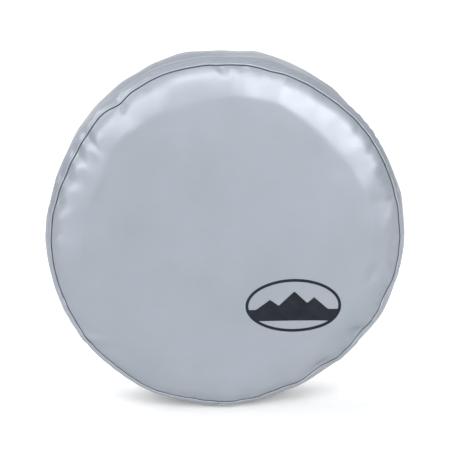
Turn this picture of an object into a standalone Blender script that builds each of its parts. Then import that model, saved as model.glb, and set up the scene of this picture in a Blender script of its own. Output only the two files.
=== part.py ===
"""Spare tyre cover: a sewn vinyl cover that is pulled over a trailer's spare wheel.

A round front panel is sewn to a side band, with both seam allowances turned inside and bound with
tape. Behind the tyre the band turns inwards as a gathered lip. A folded binding closes the lip's
edge and holds an elastic cord, whose ends lie side by side in a crimped clamp.

World axes: +Z is up, the wheel's axis is Y, and the printed front faces -Y. The origin is the
wheel's centre. Sections are lists of (r, y) points: distance from the wheel's axis, then place along
it. All lengths are in metres.
"""

import math

import bmesh
import bpy
from mathutils import Matrix, Vector

# The tyre that the cover fits, and the cover's material.
TYRE_DIAMETER = 0.596
TYRE_WIDTH = 0.168
VINYL = 0.0012
EASE = 0.0008
GAP = 0.0003
PITCH = VINYL + GAP

# The front panel and its seam.
BAND_R = TYRE_DIAMETER / 2 + EASE + VINYL / 2
FACE_Y = -(TYRE_WIDTH / 2 + EASE + VINYL / 2)
FLAT_R = 0.2235
PLATE_R = 0.180
CORNER_RADIUS = 0.002
ALLOWANCE = 0.010
ALLOWANCE_R = BAND_R - 0.0130
SEAM_Y = FACE_Y + 0.0195

# The side band, from the front seam to where it turns in behind the tyre.
FOLD_RADIUS = PITCH / 2
FRONT_SHOULDER = 0.030
REAR_SHOULDER_Y = 0.030
LIP_OUTER_R = 0.262
LIP_Y = -FACE_Y - 0.001

# The elasticated mouth. Its pieces are modelled from the hem's own mid-plane.
HEM_Y = LIP_Y + 0.003
LIP_EDGE_R = 0.215
LIP_FLAT_R = 0.226
HEM_LEG_R = 0.2225
CORD_R = 0.203
CORD_RADIUS = 0.003
CHANNEL_HALF_R = 0.0105
CHANNEL_HALF_Y = 0.0060
GATHERS = 20
GATHER_DEPTH = 0.002
CORD_OVERLAP_DEG = 12.0
CORD_SWING_DEG = 14.0

# Small parts.
TAPE = 0.0006
THREAD_RADIUS = 0.0004
CLAMP_LENGTH = 0.020
CLAMP_WALL = 0.001
INK = 0.0004
EMBLEM_X = 0.110
EMBLEM_Z = -0.110
EMBLEM_HALF_WIDTH = 0.080
EMBLEM_HALF_HEIGHT = 0.046
EMBLEM_RIM = 0.005

# Every ring is turned in the same steps from the same angle, so nested rings keep their gaps.
RING_STEPS = 60
STEP_DEG = 360.0 / RING_STEPS
START_DEG = -90.0 - STEP_DEG / 2
LAP_STEPS = 1
RAMP_STEPS = 2
FOLD_STEPS = 3
TAB_ROW = FOLD_STEPS + 2
WHEEL_AXIS = Vector((0.0, 1.0, 0.0))


def clear_scene():
    for obj in list(bpy.data.objects):
        bpy.data.objects.remove(obj)


def material(name, colour, roughness, metallic=0.0):
    made = bpy.data.materials.new(name)
    made.use_nodes = True
    shader = made.node_tree.nodes["Principled BSDF"]
    shader.inputs["Base Color"].default_value = (*colour, 1.0)
    shader.inputs["Roughness"].default_value = roughness
    shader.inputs["Metallic"].default_value = metallic
    return made


def empty(name, y=0.0):
    made = bpy.data.objects.new(name, None)
    made.location = (0.0, y, 0.0)
    bpy.context.scene.collection.objects.link(made)
    return made


def place(name, data, finish, parent):
    """Links a named object that carries one material and hangs on its body's empty."""
    made = bpy.data.objects.new(name, data)
    data.materials.append(finish)
    bpy.context.scene.collection.objects.link(made)
    made.parent = parent
    return made


def arc(centre, radii, start_deg, end_deg, steps):
    """Points on an ellipse in a section, both ends included."""
    points = []
    for i in range(steps + 1):
        angle = math.radians(start_deg + (end_deg - start_deg) * i / steps)
        points.append((centre[0] + radii[0] * math.cos(angle), centre[1] + radii[1] * math.sin(angle)))
    return points


def at_angle(r, y, degrees):
    """A section point turned to an angle round the wheel, 0 at +X and 90 at the top."""
    angle = math.radians(degrees)
    return Vector((r * math.cos(angle), y, r * math.sin(angle)))


def smooth_step(x):
    x = min(max(x, 0.0), 1.0)
    return x * x * (3.0 - 2.0 * x)


def spun_mesh(name, section, turn_steps, first_deg, closed):
    """The surface that a section sweeps as it turns round the wheel's axis."""
    mesh = bpy.data.meshes.new(name)
    bm = bmesh.new()
    chain = [bm.verts.new(at_angle(r, y, first_deg)) for r, y in section]
    edges = [bm.edges.new(pair) for pair in zip(chain, chain[1:])]
    angle = math.radians(turn_steps * STEP_DEG)
    bmesh.ops.spin(
        bm, geom=chain + edges, cent=(0, 0, 0), axis=-WHEEL_AXIS, angle=angle, steps=turn_steps
    )
    if closed:
        bmesh.ops.remove_doubles(bm, verts=bm.verts, dist=0.00001)
    bmesh.ops.recalc_face_normals(bm, faces=bm.faces)
    bm.to_mesh(mesh)
    bm.free()
    return mesh


def sheet(name, section, finish, parent, thickness=VINYL, turn_steps=RING_STEPS, first_deg=START_DEG):
    """A sewn sheet: a spun surface that Solidify thickens evenly to both sides."""
    mesh = spun_mesh(name, section, turn_steps, first_deg, closed=turn_steps == RING_STEPS)
    made = place(name, mesh, finish, parent)
    solidify = made.modifiers.new("thickness", "SOLIDIFY")
    solidify.thickness = thickness
    solidify.offset = 0.0
    solidify.use_even_offset = True
    mesh.shade_smooth()
    mesh.set_sharp_from_angle(angle=math.radians(35))
    return made


def round_cord(name, points, radius, finish, parent, sides_step, closed):
    """A round cord or thread through the given points."""
    curve = bpy.data.curves.new(name, "CURVE")
    curve.dimensions = "3D"
    spline = curve.splines.new("POLY")
    spline.points.add(len(points) - 1)
    for spot, point in zip(spline.points, points):
        spot.co = (*point, 1.0)
    spline.use_cyclic_u = closed
    curve.bevel_depth = radius
    curve.bevel_resolution = sides_step
    curve.use_fill_caps = not closed
    return place(name, curve, finish, parent)


def thread_ring(name, r, y, finish, parent):
    points = [at_angle(r, y, START_DEG + i * STEP_DEG) for i in range(RING_STEPS)]
    return round_cord(name, points, THREAD_RADIUS, finish, parent, 0, closed=True)


def lockstitch(seam, faces, y, finish, parent):
    """A ring of stitching: the needle's thread on one face of the seam, the bobbin's on the other."""
    lie = GAP + THREAD_RADIUS
    thread_ring(f"{seam}_needle_thread", faces[0] - lie, y, finish, parent)
    thread_ring(f"{seam}_bobbin_thread", faces[1] + lie, y, finish, parent)


def plate(name, outlines, thickness, finish, parent):
    """A flat piece in the XY plane of its own, cut to closed outlines. Inner ones are holes."""
    curve = bpy.data.curves.new(name, "CURVE")
    curve.dimensions = "2D"
    curve.fill_mode = "BOTH"
    curve.extrude = thickness / 2
    for outline in outlines:
        spline = curve.splines.new("POLY")
        spline.points.add(len(outline) - 1)
        for spot, (x, y) in zip(spline.points, outline):
            spot.co = (x, y, 0.0, 1.0)
        spline.use_cyclic_u = True
    return place(name, curve, finish, parent)


def front_panel_section():
    """From the centre over the tyre's shoulder to the seam, then back inside as its allowance."""
    slope = math.radians(27.0)
    corner_start = -90.0 + math.degrees(slope)
    corner = arc((ALLOWANCE_R - CORNER_RADIUS, SEAM_Y), (CORNER_RADIUS,) * 2, corner_start, 0.0, 2)
    end_r, end_y = corner[0]
    section = [(0.0, FACE_Y), (PLATE_R, FACE_Y), (FLAT_R, FACE_Y)]
    rolls = 5
    for i in range(1, rolls):
        share = i / rolls
        section.append((FLAT_R + share * (end_r - FLAT_R), FACE_Y + share**2 * (end_y - FACE_Y)))
    return section + corner + [(ALLOWANCE_R, SEAM_Y + ALLOWANCE)]


def band_outer_section():
    """The part of the side band that shows: over the tread, and round the rear shoulder."""
    front_r = ALLOWANCE_R + 2 * PITCH
    shoulders = 4
    section = []
    for i in range(shoulders + 1):
        share = i / shoulders
        rise = (BAND_R - front_r) * (1 - (1 - share) ** 2)
        section.append((front_r + rise, SEAM_Y + share * FRONT_SHOULDER))
    rear = arc(
        (LIP_OUTER_R, REAR_SHOULDER_Y), (BAND_R - LIP_OUTER_R, LIP_Y - REAR_SHOULDER_Y), 0.0, 90.0, 5
    )
    return section + rear


def side_band_section():
    """The band's allowance runs forward to the seam, folds back on itself, and goes over the tyre."""
    allowance_r = ALLOWANCE_R + PITCH
    fold = arc((allowance_r + FOLD_RADIUS, SEAM_Y), (FOLD_RADIUS,) * 2, 180.0, 360.0, FOLD_STEPS)
    return [(allowance_r, SEAM_Y + ALLOWANCE)] + fold + band_outer_section()[1:]


def face_side(section, row):
    """The direction in which the sheet's outer face looks, at one point of its section."""
    r0, y0 = section[max(row - 1, 0)]
    r1, y1 = section[min(row + 1, len(section) - 1)]
    return Vector((y1 - y0, r0 - r1)).normalized()


def side_band(finish, parent):
    """One long strip, whose end rises at the bottom of the wheel and laps over its start.

    The overlapping tab is cut short of the front seam, so that the seam stays thin.
    """
    steps = RING_STEPS + LAP_STEPS
    section = side_band_section()
    made = sheet("side_band", section, finish, parent, turn_steps=steps)
    bm = bmesh.new()
    bm.from_mesh(made.data)
    trimmed = []
    # Spin adds one whole section per step, so a vertex's number gives its step and its row.
    for vertex in bm.verts:
        step, row = divmod(vertex.index, len(section))
        if row >= TAB_ROW:
            lift = PITCH * smooth_step((step - RING_STEPS + RAMP_STEPS) / RAMP_STEPS)
            out = face_side(section, row)
            radial = Vector((vertex.co.x, 0.0, vertex.co.z)).normalized()
            vertex.co += lift * (out.x * radial + out.y * WHEEL_AXIS)
        elif step > RING_STEPS:
            trimmed.append(vertex)
        elif step == RING_STEPS:
            vertex.co.rotate(Matrix.Rotation(GAP / BAND_R, 3, "Y"))
    bmesh.ops.delete(bm, geom=trimmed, context="VERTS")
    bm.to_mesh(made.data)
    bm.free()
    return made


def lap_threads(finish, parent):
    """Two rows of lockstitch over the lap, from behind the seam's tape to the rear shoulder."""
    section = side_band_section()
    on_face = PITCH + VINYL / 2 + GAP + THREAD_RADIUS
    on_back = -VINYL / 2 - GAP - THREAD_RADIUS
    for side, share in (("left", 0.25), ("right", 0.75)):
        degrees = START_DEG + share * LAP_STEPS * STEP_DEG
        for kind, lie in (("needle", on_face), ("bobbin", on_back)):
            points = []
            for row in range(TAB_ROW + 1, len(section) - 1):
                out = face_side(section, row)
                r, y = section[row]
                points.append(at_angle(r + lie * out.x, y + lie * out.y, degrees))
            name = f"lap_{side}_{kind}_thread"
            round_cord(name, points, THREAD_RADIUS, finish, parent, 0, closed=False)


def rear_lip(finish, parent):
    """The band turned in behind the tyre. It is its own piece here, because it flexes."""
    section = [(LIP_OUTER_R - GAP, LIP_Y), (LIP_FLAT_R, HEM_Y), (LIP_EDGE_R, HEM_Y)]
    return sheet("rear_lip", section, finish, parent)


def seam_binding(finish, parent):
    """A woven tape folded over both raw edges of the front seam."""
    inner_r = ALLOWANCE_R - VINYL / 2 - GAP - TAPE / 2
    outer_r = ALLOWANCE_R + PITCH + VINYL / 2 + GAP + TAPE / 2
    half = (outer_r - inner_r) / 2
    bend_y = SEAM_Y + ALLOWANCE + GAP + TAPE / 2
    bend = arc((inner_r + half, bend_y), (half, TAPE), 180.0, 0.0, 2)
    leg_y = SEAM_Y + ALLOWANCE * 0.5
    section = [(inner_r, leg_y)] + bend + [(outer_r, leg_y)]
    return sheet("seam_binding", section, finish, parent, thickness=TAPE)


def hem_binding(finish, parent):
    """A strip folded round the lip's edge: two legs that grip it, and a channel for the elastic.

    The elastic gathers the channel's inner side into scallops. The legs stay round.
    """
    mouth_deg = math.degrees(math.asin(PITCH / CHANNEL_HALF_Y))
    channel = arc((CORD_R, 0.0), (CHANNEL_HALF_R, CHANNEL_HALF_Y), mouth_deg, 360.0 - mouth_deg, 10)
    section = [(HEM_LEG_R, PITCH)] + channel + [(HEM_LEG_R, -PITCH)]
    made = sheet("hem_binding", section, finish, parent)
    for vertex in made.data.vertices:
        radial = Vector((vertex.co.x, 0.0, vertex.co.z))
        turn = math.atan2(radial.z, radial.x)
        share = (CORD_R + CHANNEL_HALF_R - radial.length) / (2 * CHANNEL_HALF_R)
        depth = GATHER_DEPTH * min(max(share, 0.0), 1.0)
        vertex.co -= depth * math.cos(GATHERS * turn) * radial.normalized()
    return made


def elastic_cord(finish, parent):
    """One length of shock cord, with its two ends side by side at the bottom."""
    aside = CORD_RADIUS + GAP / 2
    points = []
    steps = 72
    first = -90.0 - CORD_OVERLAP_DEG / 2
    turn = 360.0 + CORD_OVERLAP_DEG
    for i in range(steps + 1):
        degrees = turn * i / steps
        from_start = 1 - smooth_step((degrees - CORD_OVERLAP_DEG) / CORD_SWING_DEG)
        from_end = 1 - smooth_step((turn - CORD_OVERLAP_DEG - degrees) / CORD_SWING_DEG)
        r = CORD_R + aside * (from_end - from_start)
        points.append(at_angle(r, 0.0, first + degrees))
    return round_cord("elastic_cord", points, CORD_RADIUS, finish, parent, 2, closed=False)


def rounded_slot(half_width, half_height, steps=6):
    """A slot with round ends, longer across than it is high."""
    straight = half_width - half_height
    right = arc((straight, 0.0), (half_height,) * 2, -90.0, 90.0, steps)
    left = arc((-straight, 0.0), (half_height,) * 2, 90.0, 270.0, steps)
    return right + left


def elastic_clamp(finish, parent):
    """An oval sleeve crimped over both ends of the cord."""
    inner_w = 2 * CORD_RADIUS + GAP / 2 + 2 * GAP
    inner_h = CORD_RADIUS + GAP
    outlines = [
        rounded_slot(inner_w + CLAMP_WALL, inner_h + CLAMP_WALL),
        rounded_slot(inner_w, inner_h),
    ]
    made = plate("elastic_clamp", outlines, CLAMP_LENGTH, finish, parent)
    # The slot's long side lies along the wheel's radius, and the sleeve runs round the wheel.
    made.matrix_local = Matrix(((0, 0, 1, 0), (0, 1, 0, 0), (-1, 0, 0, -CORD_R), (0, 0, 0, 1)))
    return made


def ridge_line():
    """The skyline of the printed hills, left to right, as shares of the emblem's half sizes."""
    return [
        (-0.86, -0.16),
        (-0.56, 0.22),
        (-0.40, 0.02),
        (-0.04, 0.58),
        (0.26, 0.08),
        (0.44, 0.32),
        (0.84, -0.16),
    ]


def emblem(finish, parent):
    """A plain printed oval with a row of hills: one film, with a window for the sky and one below."""
    rim_w = EMBLEM_HALF_WIDTH - EMBLEM_RIM
    rim_h = EMBLEM_HALF_HEIGHT - EMBLEM_RIM
    oval = arc((0.0, 0.0), (EMBLEM_HALF_WIDTH, EMBLEM_HALF_HEIGHT), 0.0, 360.0, 36)[:-1]
    ridge = [(x * rim_w, z * rim_h) for x, z in ridge_line()]
    left_deg = math.degrees(math.pi - math.asin(-0.16))
    right_deg = math.degrees(math.asin(-0.16))
    sky = arc((0.0, 0.0), (rim_w, rim_h), right_deg, left_deg, 18) + ridge
    lake = arc((0.0, 0.0), (rim_w, rim_h), 220.0, 320.0, 10)
    made = plate("emblem_print", [oval, sky, lake], INK, finish, parent)
    made.location = (EMBLEM_X, FACE_Y - VINYL / 2 - GAP - INK / 2, EMBLEM_Z)
    made.rotation_euler = (math.radians(90.0), 0.0, 0.0)
    return made


def build():
    clear_scene()
    vinyl = material("silver_vinyl", (0.45, 0.49, 0.55), 0.38)
    tape = material("woven_tape", (0.10, 0.11, 0.12), 0.9)
    thread = material("grey_thread", (0.36, 0.39, 0.43), 0.7)
    elastic = material("black_elastic", (0.02, 0.02, 0.02), 0.8)
    zinc = material("zinc_plate", (0.60, 0.60, 0.58), 0.35, 1.0)
    ink = material("dark_ink", (0.015, 0.02, 0.03), 0.45)

    cover = empty("cover")
    sheet("front_panel", front_panel_section(), vinyl, cover)
    side_band(vinyl, cover)
    rear_lip(vinyl, cover)
    seam_binding(tape, cover)
    inner_face = ALLOWANCE_R - VINYL / 2
    outer_face = ALLOWANCE_R + PITCH + VINYL / 2
    lockstitch("front_seam", (inner_face, outer_face), SEAM_Y + 0.0025, thread, cover)
    tape_faces = (inner_face - GAP - TAPE, outer_face + GAP + TAPE)
    lockstitch("binding", tape_faces, SEAM_Y + 0.0075, thread, cover)
    lap_threads(thread, cover)
    emblem(ink, cover)

    mouth = empty("mouth_ring", HEM_Y)
    hem_binding(vinyl, mouth)
    elastic_cord(elastic, mouth)
    elastic_clamp(zinc, mouth)
    stitch_r = (LIP_EDGE_R + HEM_LEG_R) / 2
    stitch_y = PITCH + VINYL / 2 + GAP + THREAD_RADIUS
    thread_ring("hem_needle_thread", stitch_r, stitch_y, thread, mouth)
    thread_ring("hem_bobbin_thread", stitch_r, -stitch_y, thread, mouth)


build()
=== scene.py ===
"""Spare tyre cover in silver vinyl, as it sits on its tyre.

Every soft piece is first laid out in the cover's ideal shape, in ring coordinates: r from the
wheel's axis, t round it (0 at +X, 90 degrees at the top) and y along it. Then warp() moves every
piece by the same wrinkles, so layers that nest stay nested. Lengths are in metres.
"""

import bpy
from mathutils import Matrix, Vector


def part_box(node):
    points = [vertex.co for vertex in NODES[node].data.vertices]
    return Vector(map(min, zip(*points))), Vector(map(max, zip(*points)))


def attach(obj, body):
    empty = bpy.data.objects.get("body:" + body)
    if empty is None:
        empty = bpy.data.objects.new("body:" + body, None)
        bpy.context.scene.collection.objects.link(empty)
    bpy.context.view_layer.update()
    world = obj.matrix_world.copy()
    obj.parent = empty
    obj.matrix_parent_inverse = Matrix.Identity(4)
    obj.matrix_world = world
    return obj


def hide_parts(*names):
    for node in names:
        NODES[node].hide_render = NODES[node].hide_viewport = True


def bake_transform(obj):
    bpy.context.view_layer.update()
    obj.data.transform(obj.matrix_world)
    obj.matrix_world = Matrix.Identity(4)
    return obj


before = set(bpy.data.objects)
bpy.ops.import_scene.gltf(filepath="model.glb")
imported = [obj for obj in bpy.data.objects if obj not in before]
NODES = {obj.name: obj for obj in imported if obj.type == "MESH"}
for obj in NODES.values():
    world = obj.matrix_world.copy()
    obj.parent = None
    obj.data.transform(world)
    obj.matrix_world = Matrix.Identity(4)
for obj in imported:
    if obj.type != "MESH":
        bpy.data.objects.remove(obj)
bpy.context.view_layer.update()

import math

import bmesh
import bpy
import numpy as np
from mathutils import Vector

# Thicknesses and clearances. THREAD is the thread's radius.
VINYL = 0.0012
GAP = 0.0003
PITCH = VINYL + GAP
TAPE = 0.0006
INK = 0.00012
THREAD = 0.00042


def reach(node):
    """The smallest and largest distance of a CAD node from the wheel's axis."""
    co = np.array([v.co for v in NODES[node].data.vertices])
    r = np.hypot(co[:, 0], co[:, 2])
    return r.min(), r.max()


panel_low, panel_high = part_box("front_panel")
lip_low, lip_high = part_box("rear_lip")
band_low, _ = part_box("side_band")

# The front panel and its seam. SEAM_STEP is how far the tread stands out from the seam.
ALLOWANCE = 0.010
SEAM_STEP = 0.0130
FLAT_R = 0.2235
FACE_Y = panel_low.y + VINYL / 2
SEAM_R = reach("front_panel")[1] - VINYL / 2
SEAM_Y = panel_high.y - ALLOWANCE
BAND_R = SEAM_R + SEAM_STEP
FOLD = 0.0012
# The rear: the lip behind the tyre, the hem on its edge and the elastic in the hem.
LIP_Y = lip_low.y + VINYL / 2
HEM_Y = lip_high.y - VINYL / 2
LIP_EDGE_R = reach("rear_lip")[0]
LIP_OUTER_R = reach("rear_lip")[1] + GAP
HEM_LEG_R = reach("hem_binding")[1]
CORD_R = sum(reach("elastic_cord")) / 2
# The tread's rounded edges.
FRONT_SHOULDER = 0.030
REAR_SHOULDER_Y = 0.030
SHOULDER_R = BAND_R - LIP_OUTER_R
SHOULDER_Y = LIP_Y - REAR_SHOULDER_Y
# Where the band's ends meet, and how far one laps over the other.
BOTTOM = math.radians(-93.0)
LAP = math.radians(6.0)
# How far the painted shade spreads in the front seam's groove: across it and along the wheel's axis.
PAINTED_GROOVE_SHADE = (0.00060, 0.0026)
# Segments round the wheel.
FACE_STEPS = 768
BAND_STEPS = 840
TAPE_STEPS = 720
HEM_STEPS = 900
# Stitch pitches: in the body's seams and in the hem. A stitch takes up STITCH_SHARE of one.
BODY_STITCH = 0.0042
HEM_STITCH = 0.0046
STITCH_SHARE = 0.86


# ---- wrinkles


# Where the seam pulls in or stands out: direction in degrees, half width, metres outwards.
SEAM_DENTS = [
    (-59, 8, -0.0056), (-40, 10, -0.0044), (155, 12, -0.0034), (-119, 10, 0.0030),
    (190, 20, 0.0004), (110, 14, 0.0030), (-6, 10, 0.0026), (58, 10, -0.0018),
    (-71, 7, -0.0042), (127, 3.2, -0.0036), (134, 4, 0.0016), (-128, 8, -0.0010),
    (84, 2.4, 0.0010), (76, 3.0, -0.0014), (97, 3.0, 0.0010),
]
# The same for the tread.
TREAD_DENTS = [
    (44, 16, -0.0034), (105, 9, 0.0040), (77, 8, 0.0036), (91, 4, -0.0006),
    (62, 5, 0.0016), (54, 3, 0.0012), (126, 10, 0.0010), (178, 26, -0.0082),
    (-18, 22, 0.0048), (-120, 14, 0.0004),
]
# Creases that run in from the seam: direction, length, half width in degrees, depth (less than
# 0 for a ridge), and how far they lean as they run in, in degrees.
CREASES = [
    (142, 0.044, 1.3, 0.0036, 2.0), (148.5, 0.034, 1.6, 0.0030, 2.0),
    (157, 0.034, 2.0, 0.0030, 1.0), (166, 0.030, 1.9, 0.0024, 1.0),
    (176, 0.026, 1.9, 0.0016, 0.0), (127, 0.022, 1.4, 0.0022, 2.0),
    (118, 0.014, 1.2, 0.0009, -1.0), (92, 0.024, 1.3, 0.0018, -2.0),
    (84, 0.020, 1.2, 0.0016, 1.0),
    (41, 0.026, 1.4, 0.0008, -2.0), (33, 0.028, 1.5, 0.0009, -2.0),
    (24, 0.030, 1.6, 0.0012, -2.0), (15, 0.026, 1.7, 0.0015, -3.0),
    (5, 0.036, 2.0, 0.0028, -4.0), (-9, 0.026, 1.7, 0.0018, 2.0),
    (-19, 0.040, 2.4, 0.0030, 5.0), (-29, 0.028, 1.7, 0.0022, -2.0),
    (-35, 0.036, 2.1, 0.0026, -4.0), (-45, 0.026, 1.7, 0.0020, 2.0),
    (-55, 0.044, 2.8, 0.0030, 6.0), (-68, 0.030, 2.0, 0.0022, -3.0),
    (-84, 0.028, 2.0, 0.0022, 3.0), (-101, 0.022, 1.9, 0.0016, -2.0),
    (-118, 0.020, 1.6, 0.0012, 2.0), (-145, 0.040, 1.9, -0.0036, 7.0),
    (-160, 0.020, 1.6, 0.0012, -1.0),
]
# The soft ridge on each side of a crease: share of its depth, then place and width in half widths.
CREASE_SIDES = [(0.50, 2.0, 1.3), (0.30, -2.2, 1.4)]
# How much a crease nips the seam in, as a share of its depth.
SEAM_NIP = 0.28
# Soft hollows in the face: direction, distance in from the seam, half width in degrees, half
# length and depth.
HOLLOWS = [
    (-4, 0.004, 5.0, 0.012, 0.0060), (-13, 0.036, 4.0, 0.009, 0.0036),
    (-22, 0.006, 3.4, 0.013, 0.0106), (-37, 0.008, 4.0, 0.013, 0.0112),
    (-54, 0.004, 6.0, 0.012, 0.0126), (-73, 0.000, 7.0, 0.010, 0.0050),
    (-104, 0.002, 9.0, 0.012, 0.0034), (21, 0.004, 4.0, 0.012, 0.0026),
]
# Ripples round the wheel: height, fewest and most crests a turn, and the draw's seed.
SEAM_RIPPLES = (0.0004, 9, 17, 11)
SEAM_PUCKERS = (0.00022, 34, 70, 12)
FACE_PUCKERS = (0.00042, 60, 100, 25)
FINE_PUCKERS = (0.00022, 110, 170, 26)
EDGE_DRIFT = (0.0022, 5, 16, 61)
ALLOWANCE_PUCKERS = (0.00065, 70, 120, 62)
GATHER_DRIFT = (0.0175, 3, 11, 41)
FACE_EDGE = (0.0045, 2, 6, 51)
# Swells over a sheet: height, shortest and longest wavelength, and the draw's seed.
FACE_SWELLS = (0.0010, 0.14, 0.30, 21)
ROLL_SWELLS = (0.0007, 0.055, 0.12, 22)
TREAD_SWELLS = (0.0006, 0.04, 0.11, 33)
# Shares that come and go round the wheel: the least, then the middle and swing of the draw, the
# fewest and most crests a turn, and the draw's seed.
FACE_PATCHES = (0.35, 0.5, 0.6, 3, 8, 24)
TREAD_PATCHES = (0.35, 0.5, 0.7, 3, 9, 32)
ALLOWANCE_PATCHES = (0.0, 0.6, 0.6, 3, 8, 63)
GATHER_PATCHES = (0.62, 0.5, 0.6, 4, 12, 42)


def smooth(x):
    x = np.clip(x, 0.0, 1.0)
    return x * x * (3.0 - 2.0 * x)


def away(t, degrees):
    """Signed angle from a direction, in degrees."""
    return np.degrees((t - math.radians(degrees) + np.pi) % (2 * np.pi) - np.pi)


def bump(t, degrees, width):
    return np.exp(-((away(t, degrees) / width) ** 2))


def add_up(terms, count):
    """The sum of count waves, scaled to stay about within 1."""
    usual_peak = 1.6
    return sum(terms) * math.sqrt(2.0 / count) / usual_peak


def waves(t, low, high, seed, count=9):
    """Uneven ripples round the wheel, with low to high crests a turn, about 1 high."""
    rng = np.random.default_rng(seed)
    crests = rng.integers(low, high + 1, count)
    phases = rng.uniform(0, 2 * np.pi, count)
    return add_up([np.cos(n * t + p) for n, p in zip(crests, phases)], count)


def swells(a, b, height, short, long, seed, count=12):
    """Uneven swells over a plane, with wavelengths from short to long."""
    rng = np.random.default_rng(seed)
    lengths = rng.uniform(short, long, count)
    headings = rng.uniform(0, 2 * np.pi, count)
    phases = rng.uniform(0, 2 * np.pi, count)
    terms = []
    for length, heading, phase in zip(lengths, headings, phases):
        k = 2 * np.pi / length
        terms.append(np.cos(k * (a * math.cos(heading) + b * math.sin(heading)) + phase))
    return height * add_up(terms, count)


def ripples(t, height, low, high, seed, count=9):
    return height * waves(t, low, high, seed, count)


def patches(t, least, middle, swing, low, high, seed):
    """A share from least to 1 that comes and goes round the wheel."""
    return least + (1 - least) * smooth(middle + swing * waves(t, low, high, seed))


def dents(t, places):
    return sum(out * bump(t, degrees, width) for degrees, width, out in places)


def seam_wobble(t):
    """How far the front seam strays outwards from its circle."""
    nips = 0.0
    for degrees, _, width, depth, _ in CREASES:
        nips = nips + SEAM_NIP * depth * bump(t, degrees, 1.6 * width)
    return ripples(t, *SEAM_RIPPLES) + ripples(t, *SEAM_PUCKERS) + dents(t, SEAM_DENTS) - nips


def crease_relief(inwards, t):
    """Creases with a soft ridge on each side. They fade as they run in from the seam."""
    at_seam = 0.45
    rise = 0.004
    total = 0.0
    for degrees, length, width, depth, lean in CREASES:
        along = np.clip(inwards / length, 0, 1)
        off = away(t, degrees) - lean * along
        fade = (1 - smooth(along)) * (at_seam + (1 - at_seam) * smooth(inwards / rise))
        total = total - depth * fade * np.exp(-((off / width) ** 2))
        for share, place, spread in CREASE_SIDES:
            side = (off - place * width) / (spread * width)
            total = total + share * depth * fade * np.exp(-(side**2))
    return total


def hollow_relief(inwards, t):
    total = 0.0
    for degrees, far_in, width, length, depth in HOLLOWS:
        across = (inwards - far_in) / length
        total = total - depth * bump(t, degrees, width) * np.exp(-(across**2))
    return total


def face_relief(r, t):
    """How far the front stands out of its ideal shape, at a point of the face."""
    roll_start, roll_width = 0.185, 0.06
    pucker_reach, fine_reach = 0.014, 0.008
    r = np.minimum(r, SEAM_R)
    x, z = r * np.cos(t), r * np.sin(t)
    inwards = SEAM_R - r
    roll = smooth((r - roll_start) / roll_width)
    total = swells(x, z, *FACE_SWELLS) + roll * swells(x, z, *ROLL_SWELLS)
    total = total + hollow_relief(inwards, t) + crease_relief(inwards, t)
    fine = ripples(t, *FACE_PUCKERS) * np.exp(-inwards / pucker_reach)
    fine = fine + ripples(t, *FINE_PUCKERS) * np.exp(-inwards / fine_reach)
    return total + fine * patches(t, *FACE_PATCHES)


def tread_ripples(t, y):
    """Long soft ripples that run round the side band, and the flats between its knocks."""
    height, spacing, overtone = 0.00176, 0.029, 0.35
    flats, flat_depth = 13, 0.0016
    phase = 2 * np.pi * y / spacing + 2.6 * waves(t, 2, 7, 31)
    long_ripples = np.cos(phase) + overtone * np.cos(2 * phase + 1.0)
    knocks = np.abs(np.sin(0.5 * (flats * t + 2.0 * waves(t, 2, 9, 34))))
    total = height * patches(t, *TREAD_PATCHES) * long_ripples
    return total + swells(t * BAND_R, y, *TREAD_SWELLS) - flat_depth * knocks


def allowance_relief(t, beyond):
    """The seam allowance pressed through the band: an uneven step, small puckers and a valley."""
    step_height, valley_depth = 0.0014, 0.0014
    rise, fall = 0.004, 0.0018
    slant = 7.0
    edge = 0.0108 + ripples(t, *EDGE_DRIFT)
    step = step_height * smooth(beyond / rise) * (1 - smooth((beyond - edge) / fall))
    span = smooth(beyond / 0.003) * (1 - smooth((beyond - edge + 0.001) / 0.003))
    puckers = ripples(t + slant * beyond, *ALLOWANCE_PUCKERS) * patches(t, *ALLOWANCE_PATCHES)
    valley = valley_depth * np.exp(-(((beyond - edge - 0.0045) / 0.0030) ** 2))
    return step + span * puckers - valley


def past_shoulder(r, y):
    """Distance along the cover past the tread's rear edge, and the direction out of the cover."""
    a = np.maximum(r - LIP_OUTER_R, 0.0) / SHOULDER_R
    b = np.maximum(y - REAR_SHOULDER_Y, 0.0) / SHOULDER_Y
    angle = np.arctan2(b, a)
    angle = np.where(y <= REAR_SHOULDER_Y, 0.0, np.where(r <= LIP_OUTER_R, np.pi / 2, angle))
    arc_length = 0.5 * (SHOULDER_R + SHOULDER_Y)
    path = angle * arc_length + np.maximum(LIP_OUTER_R - r, 0.0) * (y > REAR_SHOULDER_Y)
    return path, np.cos(angle), np.sin(angle)


def gathers(t, path):
    """Folds that the elastic makes: few and soft over the shoulder, many and deep at the hem."""
    broad_height, fine_height = 0.0032, 0.0030
    drift = t + ripples(t, *GATHER_DRIFT)
    broad = waves(drift, 28, 35, 43, 5)
    fine = waves(drift, 56, 64, 44, 5)
    swell = smooth((path + 0.012) / 0.055)
    ebb = 1 - 0.55 * smooth((path - 0.075) / 0.045)
    fine_share = smooth((path - 0.045) / 0.065)
    folds = broad_height * swell * ebb * broad + fine_height * fine_share * fine
    return patches(t, *GATHER_PATCHES) * folds


def held_gathers(r, t, y, path):
    """The gathers, less inside the elastic and at the lap's end."""
    held, loose = 0.22, 0.78
    back = smooth((y + 0.010) / 0.036)
    hold = held + loose * smooth((r - CORD_R + 0.006) / 0.020)
    lap = 1 - 0.85 * bump(t, -90, 6) * (r < LIP_EDGE_R)
    return gathers(t, path) * back * hold * lap, back


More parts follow.
